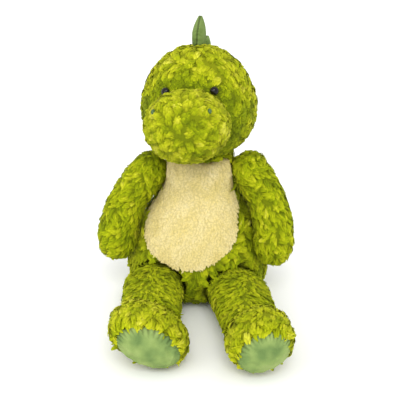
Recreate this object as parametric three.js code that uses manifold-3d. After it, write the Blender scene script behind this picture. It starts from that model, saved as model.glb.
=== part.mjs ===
// A large stuffed dinosaur sitting with its legs out in front, in millimetres.
// +Z is up, the toy looks along -Y, and +X is its own left side.
// The origin is the middle of the flat seat that it sits on.
// Every skin is curly pile fabric: its solid is the backing and the pile together.

import * as THREE from "three";
import Module from "manifold-3d";
import { ConvexGeometry } from "three/addons/geometries/ConvexGeometry.js";
import { mergeVertices } from "three/addons/utils/BufferGeometryUtils.js";

const wasm = await Module();
wasm.setup();

// ---- Driving dimensions ----

const PILE_FABRIC = 12; // backing and curly pile together
const VELBOA = 5; // short smooth pile fabric with its thin wadding
const SEAM_GAP = 0.5; // between pieces that are sewn to each other
const STUFFING_GAP = 1.5; // between a skin and its stuffing
const MOVING_GAP = 3; // between pieces that move past each other
const WAD_GAP = 3; // round the ball of stuffing that a limb turns on
const WAD_FACETS = [8, 14];
const COARSE = 0.6; // facets of an inner surface, as a share of the outer one's

const HEAD = { centre: [-4, -10, 499], width: 147, depth: 143, height: 146, pitch: -10, roll: -3, yaw: -2 };
const NECK = { pivot: [0, 0, 362], opening: 72, torsoOpening: 48, across: 64, height: 40 };
const MUZZLE = { centre: [-5, -136, -45], width: 104, depth: 110, height: 89 };
const EYE = { radius: 10, dome: 8, flange: 2, shank: 3, shankLength: 21, sunk: 4, azimuth: 25.5, elevation: 14.5 };
const WASHER = { radius: 9, thickness: 2.5, bore: 3.6, depth: 15 };
const NOSTRIL = { width: 9, height: 13, thickness: 4, across: 66, up: 40 };
const TORSO = { yaw: -7, belly: 0.94, back: 0.8, rightFlank: 0.06, leftFlank: -0.02, flankTop: 275 };

const SHOULDER = { x: 127, y: -20, opening: 24 };
const ARM = { radius: 47, handRadius: 49 };
const ARM_LEFT = { z: 336, tilt: 4, swing: -6 };
const ARM_RIGHT = { z: 326, tilt: 0, swing: -6 };

const HIP = { y: -146, z: 58 };
const LEG = { radius: 79, flatness: 0.7, ankleRadius: 70, length: 236, opening: 42 };
const LEG_LEFT = { hip: 109, splay: 15, toe: 80 };
const LEG_RIGHT = { hip: 102, splay: 8, toe: 97 };
const FOOT = { instep: 64, depth: 82, at: 264, up: 15, roll: 64 };
const SOLE = { along: 0.76, across: 0.76, drop: 7, opening: 38 };

const TAIL = { y: 92, z: 74, radius: 73, length: 275, tipRadius: 26, opening: 34 };

const SPIKE = { height: 70, length: 66, thickness: 38, lean: 6 };
const HEAD_SPIKES = [
  { angle: 2, size: 1 },
  { angle: 36, size: 0.86 },
  { angle: 70, size: 0.8 },
];
const BACK_SPIKES = [
  { z: 316, size: 0.72 },
  { z: 262, size: 0.82 },
  { z: 206, size: 0.86 },
];
const TAIL_SPIKES = [
  { along: 0.46, size: 0.74 },
  { along: 0.64, size: 0.6 },
  { along: 0.8, size: 0.46 },
];

// ---- Colours and finishes ----

const fabric = (color, roughness) => new THREE.MeshStandardMaterial({ color, roughness, metalness: 0 });
const CURLY_GREEN = fabric(0x9fb01e, 0.95);
const CREAM_PLUSH = fabric(0xeadf9e, 0.95);
const SAGE_VELBOA = fabric(0x86a35e, 0.8);
const STUFFING = fabric(0xf4f4f0, 1.0);
const EYE_BLACK = fabric(0x0b0a0c, 0.12);
const WASHER_NYLON = fabric(0xe8e8e4, 0.5);
const THREAD = fabric(0x3d5530, 0.7);

// ---- Geometry helpers ----

const rad = THREE.MathUtils.degToRad;
const vec = (x, y, z) => new THREE.Vector3(x, y, z);

/** One closed surface with shared vertices, its faces pointing out. */
function closed(geometry) {
  const source = geometry.index ? geometry.toNonIndexed() : geometry;
  const bare = new THREE.BufferGeometry();
  bare.setAttribute("position", source.getAttribute("position"));
  const merged = mergeVertices(bare, 1e-3);
  const { array } = merged.index;
  const corners = [];
  for (let i = 0; i < array.length; i += 3) {
    const [a, b, c] = array.subarray(i, i + 3);
    if (a !== b && b !== c && c !== a) corners.push(a, b, c);
  }
  merged.setIndex(corners);
  return signedVolume(merged) < 0 ? flipped(merged) : merged;
}

function signedVolume(geometry) {
  const at = geometry.getAttribute("position");
  const index = geometry.index.array;
  const corner = (i) => vec().fromBufferAttribute(at, index[i]);
  let six = 0;
  for (let i = 0; i < index.length; i += 3) {
    six += corner(i).dot(corner(i + 1).cross(corner(i + 2)));
  }
  return six / 6;
}

function flipped(geometry) {
  const index = geometry.index.array;
  for (let i = 0; i < index.length; i += 3) {
    [index[i + 1], index[i + 2]] = [index[i + 2], index[i + 1]];
  }
  return geometry;
}

/** The form moved inwards by depth all over, or outwards where depth is negative. */
function inset(form, depth) {
  const made = form.clone();
  made.computeVertexNormals();
  const at = made.getAttribute("position");
  const normal = made.getAttribute("normal");
  for (let i = 0; i < at.count; i++) {
    const n = vec().fromBufferAttribute(normal, i);
    const p = vec().fromBufferAttribute(at, i).addScaledVector(n, -depth);
    at.setXYZ(i, p.x, p.y, p.z);
  }
  made.deleteAttribute("normal");
  return made;
}

/** Every vertex of the form moved by place(point). */
function warped(form, place) {
  const at = form.getAttribute("position");
  for (let i = 0; i < at.count; i++) {
    const p = vec().fromBufferAttribute(at, i);
    place(p);
    at.setXYZ(i, p.x, p.y, p.z);
  }
  return form;
}

/** A form turned about Z, from a smooth outline of [radius, height] points, from its base to its top. */
function turned(outline, rings, around, detail = 1) {
  const curve = new THREE.SplineCurve(outline.map(([r, z]) => new THREE.Vector2(r, z)));
  const steps = Math.round(rings * detail);
  const points = curve.getSpacedPoints(steps);
  points.forEach((p) => (p.x = Math.max(p.x, 0)));
  points[0].x = points[steps].x = 0;
  const sides = 2 * Math.round((around * detail) / 2);
  return closed(new THREE.LatheGeometry(points, sides).rotateX(Math.PI / 2));
}

/** An ellipsoid with its poles on Z. */
function ellipsoid(a, b, c, rings, around, detail = 1) {
  const sides = 2 * Math.round((around * detail) / 2);
  const ball = new THREE.SphereGeometry(1, sides, Math.round(rings * detail));
  return closed(ball.rotateX(Math.PI / 2).scale(a, b, c));
}

/** A form along +Z, from z = 0 to z = length, laid along a curve. */
function laidAlong(form, curve, length, across) {
  return warped(form, (p) => {
    const t = THREE.MathUtils.clamp(p.z / length, 0, 1);
    const ahead = curve.getTangentAt(t);
    const side = vec().crossVectors(across, ahead).normalize();
    const other = vec().crossVectors(ahead, side).normalize();
    const centre = curve.getPointAt(t);
    const [x, y] = [p.x, p.y];
    p.copy(centre).addScaledVector(side, x).addScaledVector(other, y);
  });
}

/** The outer solid of a stuffed piece, the hollow inside its skin and the stuffing that fills it. */
function stuffed(form) {
  const inner = form(COARSE);
  return {
    outer: solid(form(1)),
    hollow: solid(inset(inner, PILE_FABRIC)),
    filling: solid(inset(inner, PILE_FABRIC + STUFFING_GAP)),
  };
}

const solid = (form) =>
  new wasm.Manifold(
    new wasm.Mesh({
      numProp: 3,
      vertProperties: new Float32Array(form.getAttribute("position").array),
      triVerts: new Uint32Array(form.index.array),
    }),
  );

/** The solid's largest body as a geometry, so that a sliver left by a cut is dropped. */
function geometryOf(made) {
  const bodies = made.decompose().sort((a, b) => b.volume() - a.volume());
  const mesh = bodies[0].getMesh();
  const geometry = new THREE.BufferGeometry();
  geometry.setAttribute("position", new THREE.BufferAttribute(mesh.vertProperties, 3));
  geometry.setIndex(new THREE.BufferAttribute(mesh.triVerts, 1));
  return geometry;
}

function piece(group, name, made, material) {
  const mesh = new THREE.Mesh(geometryOf(made), material);
  mesh.name = name;
  group.add(mesh);
  return mesh;
}

/** A group whose own frame is at a point, turned by angles in degrees about X, then Y, then Z. */
function frameAt(parent, at, [x, y, z] = [0, 0, 0]) {
  const group = new THREE.Group();
  group.position.set(...at);
  group.rotation.set(rad(x), rad(y), rad(z), "ZYX");
  parent.add(group);
  group.updateMatrix();
  return group;
}

/** A rod of radius r between two heights on Z, turned to point along a direction from a point. */
function rod(r, from, to, at = vec(0, 0, 0), along = vec(0, 0, 1), sides = 16) {
  const form = new THREE.CylinderGeometry(r, r, to - from, sides)
    .rotateX(Math.PI / 2)
    .translate(0, 0, (from + to) / 2);
  const turn = new THREE.Quaternion().setFromUnitVectors(vec(0, 0, 1), along.clone().normalize());
  return solid(closed(form.applyQuaternion(turn).translate(at.x, at.y, at.z)));
}

// ---- The forms, each at the tips of its pile ----

/** The pear-shaped body, with a flat seat and a belly that stands forward, fuller on its right side. */
function torsoForm(detail) {
  const top = 346;
  const outline = [
    [0, 0],
    [60, 0],
    [118, 0],
    [168, 24],
    [187, 70],
    [165, 140],
    [136, 215],
    [108, 266],
    [98, 295],
    [98, 322],
    [98, 347],
    [68, 356],
    [0, top],
  ];
  const form = turned(outline, 16, 22, detail);
  return warped(form, (p) => {
    p.y *= p.y < 0 ? TORSO.belly : TORSO.back;
    const low = THREE.MathUtils.clamp((TORSO.flankTop - p.z) / 80, 0, 1);
    p.x *= 1 + low * (p.x < 0 ? TORSO.rightFlank : TORSO.leftFlank);
    p.z = Math.max(p.z, 0);
  }).rotateZ(rad(TORSO.yaw));
}

/** The head: a ball that is a little fuller at the cheeks than at the crown. */
function headForm(detail) {
  const cheek = 0.05;
  return warped(ellipsoid(HEAD.width, HEAD.depth, HEAD.height, 12, 20, detail), (p) => {
    const low = -p.z / HEAD.height;
    p.x *= 1 + cheek * low * (1 - low * low) * 2;
  });
}

/** The broad snout, blunter in front than a ball. */
function muzzleForm(detail) {
  const blunt = 0.86;
  const form = ellipsoid(1, 1, 1, 10, 18, detail);
  return warped(form, (p) => {
    p.y = -Math.sign(-p.y) * Math.abs(p.y) ** blunt;
    p.multiply(vec(MUZZLE.width, MUZZLE.depth, MUZZLE.height));
    p.add(vec(...MUZZLE.centre));
  });
}

/** An arm that hangs from its shoulder and bows outwards, with a round hand. side is 1 for the toy's left. */
function armForm(side, detail) {
  const r = ARM.radius;
  const hand = ARM.handRadius;
  const length = 288;
  const outline = [
    [0, 0],
    [r * 0.72, 12],
    [r, r],
    [r, length * 0.4],
    [hand, length * 0.7],
    [hand * 0.98, length - hand],
    [hand * 0.68, length - 11],
    [0, length],
  ];
  const centreline = new THREE.CatmullRomCurve3([
    vec(-side * 27, 5, 34),
    vec(0, 0, 0),
    vec(side * 44, -10, -56),
    vec(side * 70, -22, -113),
    vec(side * 81, -34, -170),
    vec(side * 76, -46, -229),
  ]);
  return laidAlong(turned(outline, 12, 12, detail), centreline, length, vec(0, 1, 0));
}

/** A leg that lies along -Y from its hip, a round-ended tube that narrows to the ankle. */
function legForm(detail) {
  const r = LEG.radius;
  const ankle = LEG.ankleRadius;
  const outline = [
    [0, -r],
    [r * 0.7, -r * 0.71],
    [r, 0],
    [r * 0.99, LEG.length * 0.35],
    [ankle * 1.04, LEG.length * 0.72],
    [ankle, LEG.length],
    [ankle * 0.7, LEG.length + 34],
    [0, LEG.length + 44],
  ];
  return turned(outline, 11, 14, detail).rotateX(Math.PI / 2).scale(1, 1, LEG.flatness);
}

/** A foot at the end of a leg: its sole faces -Y and its toe is turned out. */
function footForm(side, toe, detail) {
  const blunt = 0.5;
  const form = ellipsoid(1, 1, 1, 10, 16, detail);
  return warped(form, (p) => {
    if (p.y < 0) p.y = -(Math.abs(p.y) ** blunt);
    p.multiply(vec(FOOT.instep, FOOT.depth, toe));
  })
    .rotateY(side * rad(FOOT.roll))
    .translate(0, -FOOT.at, FOOT.up);
}

/** The tail: a fat cone that lies back along +Y and lifts at its tip. */
function tailCurve() {
  const { length } = TAIL;
  return new THREE.CatmullRomCurve3([
    vec(0, -TAIL.radius, 2),
    vec(0, 0, 0),
    vec(0, length * 0.33, -14),
    vec(0, length * 0.6, -26),
    vec(0, length, -22),
  ]);
}

function tailForm(detail) {
  const r = TAIL.radius;
  const length = TAIL.length + r;
  const outline = [
    [0, 0],
    [r * 0.7, r * 0.29],
    [r, r],
    [r * 0.78, length * 0.48],
    [r * 0.52, length * 0.72],
    [TAIL.tipRadius * 1.1, length - TAIL.tipRadius],
    [TAIL.tipRadius * 0.7, length - 6],
    [0, length],
  ];
  return laidAlong(turned(outline, 11, 14, detail), tailCurve(), length, vec(1, 0, 0));
}

/** A stuffed back plate: a leaf in the toy's middle plane, standing on z = 0, with its root sunk below. */
function spikeForm(size) {
  const root = 0.3;
  const form = ellipsoid(1, 1, 1, 8, 10);
  return warped(form, (p) => {
    const t = (p.z + 1) / 2;
    const narrow = t < 0.45 ? 1 : 1 - 0.42 * ((t - 0.45) / 0.55) ** 1.4;
    p.x *= (SPIKE.thickness / 2) * size * narrow;
    p.y *= (SPIKE.length / 2) * size * narrow;
    p.z = (t * (1 + root) - root) * SPIKE.height * size;
  });
}

// ---- Joint ranges, in degrees from rest, that the openings leave room for ----

const LEG_LEFT_SPLAYS = [-10, 8];
const LEG_RIGHT_SPLAYS = [0, 20];
const LEG_LIFTS = [0, 22];
const TAIL_SWINGS = [-22, 22];
const TAIL_LIFTS = [0, 20];

/** The hull of a limb's round root in every corner pose of its two joints, with room to move. */
function roomFor(group, [across, upright], reach, turns, lifts) {
  const ball = ellipsoid(across, across, upright, 6, 10);
  const at = ball.getAttribute("position");
  const points = [];
  for (const turn of turns) {
    for (const lift of lifts) {
      const pose = new THREE.Matrix4()
        .makeRotationZ(rad(turn))
        .multiply(new THREE.Matrix4().makeRotationFromEuler(group.rotation))
        .multiply(new THREE.Matrix4().makeRotationX(rad(lift)));
      for (const out of [0, reach]) {
        for (let i = 0; i < at.count; i++) {
          const p = vec().fromBufferAttribute(at, i);
          p.y += out;
          points.push(p.applyMatrix4(pose));
        }
      }
    }
  }
  return solid(closed(new ConvexGeometry(points)).translate(...group.position.toArray()));
}

// ---- Assembly ----

const root = new THREE.Group();

/** The leaf-shaped plates, each cut off at the surface that it is sewn to. */
function addSpike(group, name, size, place, surface) {
  const form = place(spikeForm(size));
  piece(group, name, solid(form).subtract(surface), SAGE_VELBOA);
}

function buildHead() {
  const group = frameAt(root, HEAD.centre, [HEAD.pitch, HEAD.roll, HEAD.yaw]);
  const head = stuffed(headForm);
  const muzzle = stuffed(muzzleForm);
  const headClear = solid(inset(headForm(1), -SEAM_GAP));
  const toNeck = vec(...NECK.pivot).sub(vec(...HEAD.centre)).applyQuaternion(group.quaternion.clone().invert());
  const neckHole = rod(NECK.opening, -60, 40, toNeck, vec(0, 0, 1), 20);
  let eyeRoom = null;
  const neckRoom = solid(
    ellipsoid(NECK.opening + 6, NECK.opening + 6, NECK.height + 14, 8, 14).translate(...toNeck.toArray()),
  );

  let skin = head.outer.subtract(head.hollow).subtract(neckHole);
  let fill = head.filling.subtract(neckRoom).subtract(neckHole);

  for (const [side, word] of [[1, "left"], [-1, "right"]]) {
    const out = vec(0, -1, 0)
      .applyAxisAngle(vec(1, 0, 0), -rad(EYE.elevation))
      .applyAxisAngle(vec(0, 0, 1), side * rad(EYE.azimuth));
    const surface = HEAD.depth;
    const base = out.clone().multiplyScalar(surface - EYE.sunk);
    const turn = new THREE.Quaternion().setFromUnitVectors(vec(0, 0, 1), out);
    const outline = [[0, -EYE.shankLength], [EYE.shank, -EYE.shankLength], [EYE.shank, -EYE.flange]];
    outline.push([EYE.radius, -EYE.flange], [EYE.radius, 0]);
    for (let k = 1; k < 4; k++) {
      const a = (k / 4) * (Math.PI / 2);
      outline.push([EYE.radius * Math.cos(a), EYE.dome * Math.sin(a)]);
    }
    outline.push([0, EYE.dome]);
    const eye = closed(
      new THREE.LatheGeometry(outline.map(([r, z]) => new THREE.Vector2(r, z)), 16).rotateX(Math.PI / 2),
    );
    const place = (form) => form.applyQuaternion(turn).translate(...base.toArray());
    piece(group, `eye_${word}`, solid(place(eye)), EYE_BLACK);
    const room = rod(EYE.radius + 0.6, -EYE.flange - 0.5, EYE.dome + 1, base, out);
    eyeRoom = eyeRoom ? eyeRoom.add(room) : room;
    skin = skin.subtract(rod(EYE.shank + 0.4, -60, 0, base, out));

    const inner = -WASHER.depth;
    const washer = rod(WASHER.radius, inner - WASHER.thickness, inner, base, out).subtract(
      rod(WASHER.bore, -60, 0, base, out, 12),
    );
    piece(group, `eye_washer_${word}`, washer, WASHER_NYLON);
    fill = fill
      .subtract(rod(WASHER.radius + 1, inner - WASHER.thickness - 1.5, inner + 8, base, out))
      .subtract(rod(EYE.shank + 1.5, -EYE.shankLength - 2, 0, base, out));
  }
  piece(group, "head_skin", skin.subtract(eyeRoom), CURLY_GREEN);
  piece(group, "head_fill", fill, STUFFING);

  let muzzleSkin = muzzle.outer.subtract(muzzle.hollow).subtract(headClear).subtract(eyeRoom);
  const muzzleFill = muzzle.filling.subtract(headClear);
  for (const [side, word] of [[1, "left"], [-1, "right"]]) {
    const up = NOSTRIL.up;
    const x = side * NOSTRIL.across;
    const spread = 1 - (x / MUZZLE.width) ** 2 - (up / MUZZLE.height) ** 2;
    const y = MUZZLE.centre[1] - MUZZLE.depth * Math.sqrt(spread) ** 0.86;
    const at = vec(MUZZLE.centre[0] + x, y, MUZZLE.centre[2] + up);
    const pad = (grow) =>
      solid(
        ellipsoid(NOSTRIL.width / 2 + grow, NOSTRIL.thickness + grow, NOSTRIL.height / 2 + grow, 6, 10)
          .rotateX(rad(-28))
          .rotateZ(side * rad(22))
          .translate(...at.toArray()),
      );
    piece(group, `nostril_${word}`, pad(0), THREAD);
    muzzleSkin = muzzleSkin.subtract(pad(SEAM_GAP));
  }
  piece(group, "muzzle_skin", muzzleSkin, CURLY_GREEN);
  piece(group, "muzzle_fill", muzzleFill, STUFFING);

  HEAD_SPIKES.forEach(({ angle, size }, i) => {
    const place = (form) => form.rotateY(rad(SPIKE.lean)).translate(2, 0, HEAD.height).rotateX(-rad(angle));
    addSpike(group, `head_spike_${i + 1}`, size, place, headClear);
  });
}

function buildNeck() {
  const group = frameAt(root, NECK.pivot);
  const wad = ellipsoid(NECK.across, NECK.across, NECK.height, 6, 12);
  piece(group, "neck_fill", solid(wad), STUFFING);
  return solid(inset(wad, -MOVING_GAP).translate(...NECK.pivot));
}

function buildArm(word, side, { z, tilt, swing }) {
  const at = [side * SHOULDER.x, SHOULDER.y, z];
  const group = frameAt(root, at, [swing, side * tilt, 0]);
  const arm = stuffed((detail) => armForm(side, detail));
  const wadRadius = ARM.radius - PILE_FABRIC - 4;
  const wad = ellipsoid(wadRadius, wadRadius, wadRadius, ...WAD_FACETS);
  const wadRoom = solid(inset(wad, -WAD_GAP));
  const inwards = rod(SHOULDER.opening, 0, 80, vec(0, 0, 0), vec(-side, 0, -0.3));
  const skin = arm.outer.subtract(arm.hollow).subtract(inwards).subtract(wadRoom);
  const above = rod(ARM.radius, 0, 80);
  const fill = arm.filling.subtract(wadRoom).subtract(above);
  piece(group, `arm_${word}_skin`, skin, CURLY_GREEN);
  piece(group, `arm_${word}_fill`, fill, STUFFING);
  piece(group, `shoulder_${word}_fill`, solid(wad), STUFFING);
  const room = ARM.radius + MOVING_GAP;
  return solid(ellipsoid(room, room, room, 8, 12).translate(...at));
}

function buildLeg(word, side, { hip, splay, toe }, splays) {
  const group = frameAt(root, [side * hip, HIP.y, HIP.z], [0, 0, splay]);
  const { flatness } = LEG;
  const leg = stuffed(legForm);
  const foot = stuffed((detail) => footForm(side, toe, detail));
  const footClear = solid(inset(footForm(side, toe, 1), -SEAM_GAP));
  const wadRadius = LEG.radius - PILE_FABRIC - 4;
  const wadHeight = wadRadius * flatness - 3;
  const wad = ellipsoid(wadHeight, wadHeight, wadRadius, ...WAD_FACETS).rotateY(Math.PI / 2);
  const wadRoom = solid(inset(wad, -WAD_GAP));

  const hipHole = rod(LEG.opening, 0, 120, vec(0, 0, 0), vec(0, 1, 0), 20);
  const ankleHole = rod(SOLE.opening, 0, FOOT.at, vec(0, 0, 0), vec(0, -1, 0), 20);
  const behind = rod(LEG.radius, 0, 120, vec(0, 0, 0), vec(0, 1, 0), 20);
  const legSkin = leg.outer.subtract(leg.hollow).subtract(hipHole).subtract(footClear).subtract(wadRoom);
  const legFill = leg.filling.subtract(wadRoom).subtract(footClear).subtract(behind);
  const soleTool = (grow, from) =>
    solid(
      closed(
        new THREE.CylinderGeometry(1, 1, 200, 20)
          .scale(FOOT.instep * SOLE.across + grow, 1, toe * SOLE.along + grow)
          .rotateY(side * rad(FOOT.roll))
          .translate(0, -from - 100, FOOT.up - SOLE.drop),
      ),
    );
  const footSkin = foot.outer.subtract(foot.hollow).subtract(soleTool(0, FOOT.at)).subtract(ankleHole);
  const sole = foot.outer
    .subtract(solid(inset(footForm(side, toe, 1), VELBOA)))
    .intersect(soleTool(-SEAM_GAP, FOOT.at));

  piece(group, `leg_${word}_skin`, legSkin, CURLY_GREEN);
  piece(group, `leg_${word}_fill`, legFill, STUFFING);
  piece(group, `foot_${word}_skin`, footSkin, CURLY_GREEN);
  piece(group, `foot_${word}_fill`, foot.filling, STUFFING);
  piece(group, `sole_${word}`, sole, SAGE_VELBOA);
  piece(group, `hip_${word}_fill`, solid(wad), STUFFING);

  const room = [LEG.radius + 2 * MOVING_GAP, LEG.radius * flatness + 2 * MOVING_GAP];
  const turns = splays.map((angle) => side * angle);
  return roomFor(group, room, -60, turns, LEG_LIFTS.map((angle) => -angle));
}

function buildTail() {
  const at = vec(0, TAIL.y, TAIL.z).applyAxisAngle(vec(0, 0, 1), rad(TORSO.yaw));
  const group = frameAt(root, at.toArray(), [0, 0, TORSO.yaw]);
  const tail = stuffed(tailForm);
  const tailClear = solid(inset(tailForm(1), -SEAM_GAP));
  const wadRadius = TAIL.radius - PILE_FABRIC - 4;
  const wad = ellipsoid(wadRadius, wadRadius, wadRadius, ...WAD_FACETS);
  const wadRoom = solid(inset(wad, -WAD_GAP));
  const hole = rod(TAIL.opening, 0, 120, vec(0, 0, 0), vec(0, -1, 0), 20);
  const skin = tail.outer.subtract(tail.hollow).subtract(hole).subtract(wadRoom);
  const ahead = rod(TAIL.radius, 0, 120, vec(0, 0, 0), vec(0, -1, 0), 20);
  const fill = tail.filling.subtract(wadRoom).subtract(ahead);
  piece(group, "tail_skin", skin, CURLY_GREEN);
  piece(group, "tail_fill", fill, STUFFING);
  piece(group, "tail_root_fill", solid(wad), STUFFING);

  const curve = tailCurve();
  TAIL_SPIKES.forEach(({ along, size }, i) => {
    const centre = curve.getPointAt(along);
    const lift = TAIL.radius * (1.13 - along);
    const place = (form) => form.rotateX(-rad(16)).translate(0, centre.y, centre.z + lift);
    addSpike(group, `tail_spike_${i + 1}`, size, place, tailClear);
  });
  const room = TAIL.radius + 2 * MOVING_GAP;
  return roomFor(group, [room, room], 90, TAIL_SWINGS, TAIL_LIFTS);
}

/** How far the torso's back stands behind its middle at a height. */
function backAt(torso, z) {
  const at = torso.getAttribute("position");
  const spine = [];
  for (let i = 0; i < at.count; i++) {
    if (Math.abs(at.getX(i)) < 30 && at.getY(i) > 0) spine.push([at.getZ(i), at.getY(i)]);
  }
  spine.sort((a, b) => a[0] - b[0]);
  const above = spine.findIndex(([height]) => height > z);
  const [[z0, y0], [z1, y1]] = [spine[above - 1], spine[above]];
  return y0 + ((y1 - y0) * (z - z0)) / (z1 - z0);
}

/** The outline of the cream panel, wide at the belly and narrow at the chin, as a tool through the front. */
function bellyTool() {
  const outline = new THREE.Shape();
  outline.moveTo(-6, 114);
  outline.bezierCurveTo(60, 114, 112, 150, 111, 198);
  outline.bezierCurveTo(108, 262, 90, 310, 80, 372);
  outline.lineTo(-88, 372);
  outline.bezierCurveTo(-98, 310, -124, 262, -129, 198);
  outline.bezierCurveTo(-130, 148, -72, 114, -6, 114);
  const form = new THREE.ExtrudeGeometry(outline, { depth: 300, bevelEnabled: false, curveSegments: 8 });
  return closed(form.rotateX(Math.PI / 2).translate(0, -20, 0));
}

function buildTorso(rooms) {
  const torso = torsoForm(1);
  const torsoClear = solid(inset(torso, -SEAM_GAP));
  const { outer, hollow, filling } = stuffed(torsoForm);
  const neckHole = rod(NECK.torsoOpening, -60, 60, vec(...NECK.pivot), vec(0, 0, 1), 20);
  let skin = outer.subtract(hollow).subtract(neckHole);
  let fill = filling;
  for (const room of rooms) {
    skin = skin.subtract(room);
    fill = fill.subtract(room);
  }

  const turnedBy = rad(TORSO.yaw);
  const panelHole = solid(bellyTool().rotateZ(turnedBy));
  const panelShape = solid(bellyTool().scale(0.992, 1, 0.994).translate(0, 0, 1.2).rotateZ(turnedBy));
  piece(root, "torso_skin", skin.subtract(panelHole), CURLY_GREEN);
  piece(root, "belly_panel", skin.intersect(panelShape), CREAM_PLUSH);
  piece(root, "torso_fill", fill, STUFFING);

  BACK_SPIKES.forEach(({ z, size }, i) => {
    const lean = -rad(72);
    const place = (form) => form.rotateX(lean).translate(0, backAt(torso, z) - 4, z).rotateZ(turnedBy);
    addSpike(root, `back_spike_${i + 1}`, size, place, torsoClear);
  });
}

buildHead();
buildTorso([
  buildNeck(),
  buildArm("left", 1, ARM_LEFT),
  buildArm("right", -1, ARM_RIGHT),
  buildLeg("left", 1, LEG_LEFT, LEG_LEFT_SPLAYS),
  buildLeg("right", -1, LEG_RIGHT, LEG_RIGHT_SPLAYS),
  buildTail(),
]);

export default root;
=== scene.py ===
"""Looks of a large stuffed dinosaur that sits with its legs out in front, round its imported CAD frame.

Lengths are in metres. +Z is up, the toy looks along -Y, and +X is its own left side.
The curly pile is real geometry: tufts of soft strands that grow from a backing fabric.
"""

import math

import bpy
import numpy as np
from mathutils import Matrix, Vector
from mathutils.bvhtree import BVHTree
from mathutils.kdtree import KDTree


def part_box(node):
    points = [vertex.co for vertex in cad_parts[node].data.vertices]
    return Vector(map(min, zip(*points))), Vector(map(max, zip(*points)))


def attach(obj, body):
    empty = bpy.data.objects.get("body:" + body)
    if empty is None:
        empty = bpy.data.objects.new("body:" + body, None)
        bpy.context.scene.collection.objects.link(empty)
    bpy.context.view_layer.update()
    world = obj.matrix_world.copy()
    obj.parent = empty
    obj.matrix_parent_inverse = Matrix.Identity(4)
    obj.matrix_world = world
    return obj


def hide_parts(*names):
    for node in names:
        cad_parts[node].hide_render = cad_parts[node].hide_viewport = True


# ---- Driving dimensions ----

PILE_DEPTH = 0.0045  # the backing lies this far under the CAD surface, which is at the tips of the pile
SLEEVE_DEPTH = 0.0025  # the same on the arms, where the pile is shorter
BACKING_VOXEL = 0.007
BACKING_SMOOTHING = 10  # rounds of smoothing
GROUND_GAP = 0.0008  # the least height of any fibre over the floor
PRESSED_BELOW = 0.024  # pile whose root is lower than this is pressed short

# Cloth simulation of the stuffed fabric: its pressure and frames, and how far a point may swell out of its
# CAD shape.
PRESSURE = 4.0
FRAMES = 14
SWELL = 0.0025

# A strand is rows of points from root to tip, and columns of points from edge to edge. Each row has its share
# of the strand's width, and its edges droop by a share of its half width.
STRAND_ROWS = np.array([0.0, 0.4, 0.75, 1.0])
STRAND_COLUMNS = np.array([-1.0, 0.0, 1.0])
STRAND_WIDTHS = np.array([0.7, 1.0, 0.95, 0.6])
STRAND_CUP = 0.35

# Each style of pile.
#   length, width  of a strand, in metres
#   rise, curl     how steeply its root rises and its tip comes down, in degrees
#   apart          how far apart strands stand
#   tuft, gather   how far apart tufts stand, and how far the strands of one lean together
#   dome, turn     how much higher the middle of a tuft stands in degrees, and how freely tufts turn
#   tone, spread   how light the pile is, from 0 to 1, and how much its shade varies
#   soft           how far it is lit as the surface under it is, from 0 to 1
CROWN = {"length": 0.020, "width": 0.0054, "rise": 54, "curl": -62, "apart": 0.0038,
         "tuft": 0.0140, "gather": 0.5, "dome": 32, "turn": 0.7, "tone": 0.5, "soft": 0.5, "spread": 1.3}
SNOUT = {"length": 0.018, "width": 0.0054, "rise": 52, "curl": -62, "apart": 0.0037,
         "tuft": 0.0135, "gather": 0.5, "dome": 32, "turn": 1.0, "tone": 0.48, "soft": 0.5, "spread": 1.3}
BODY = {"length": 0.021, "width": 0.0060, "rise": 50, "curl": -54, "apart": 0.0048,
        "tuft": 0.0145, "gather": 0.55, "dome": 24, "turn": 0.85, "tone": 0.4, "soft": 0.5, "spread": 1.2}
SLEEVE = {"length": 0.018, "width": 0.0040, "rise": 50, "curl": -40, "apart": 0.0040,
          "tuft": 0.0095, "gather": 0.6, "dome": 20, "turn": 0.6, "tone": 0.38, "soft": 0.6, "spread": 1.3}
LEG = {"length": 0.016, "width": 0.0036, "rise": 44, "curl": -38, "apart": 0.0040,
       "tuft": 0.0090, "gather": 0.6, "dome": 18, "turn": 0.5, "tone": 0.38, "soft": 0.6, "spread": 1.2}
SHAG = {"length": 0.021, "width": 0.0048, "rise": 44, "curl": -44, "apart": 0.0043,
        "tuft": 0.0120, "gather": 0.6, "dome": 20, "turn": 0.6, "tone": 0.55, "soft": 0.65, "spread": 1.2}
FLEECE = {"length": 0.0095, "width": 0.0021, "rise": 42, "curl": -20, "apart": 0.0022,
          "tuft": 0.0050, "gather": 0.3, "dome": 4, "turn": 0.4, "tone": 0.57, "soft": 0.9, "spread": 0.45}

NECK_BACK = 0.014  # the pile of the neck stands this far back, so that the chest hides it
MUZZLE_SUNK = 0.022  # how far the open back of the muzzle goes into the pile of the head
CHEST_RISE = 0.009  # how much the top of the stuffed chest is pushed up under the chin
SHOULDER_RISE = 0.009  # how much more it is pushed up beside the arms
ARM_SWELL = 0.006  # how far the inner side of each arm swells towards the body

# The back plates: the groove of the seam round the rim, the puckers beside it, and the root, which is the
# lowest share of the plate and goes down into the pile.
PLATE_VOXEL = 0.0026
PLATE_SWELL = 0.002
SEAM_WIDTH = 0.0027
SEAM_DEPTH = 0.0022
PUCKERS = 23
PUCKER_REACH = 0.009
PUCKER_DEPTH = 0.0015
ROOT_SHARE = 0.35
ROOT_DEPTH = 0.009

# The soles: gathers round the rim, soft dimples inside it, and how far the rim is sunk into the foot's pile.
SOLE_VOXEL = 0.0024
SOLE_SWELL = 0.004
GATHERS = 34
GATHER_DEPTH = 0.0022
DIMPLE_DEPTH = 0.0006
RIM_SINK = 0.0045
SOLE_SLACK = 0.04  # how much larger the velboa is than the opening that it is sewn into

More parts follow.
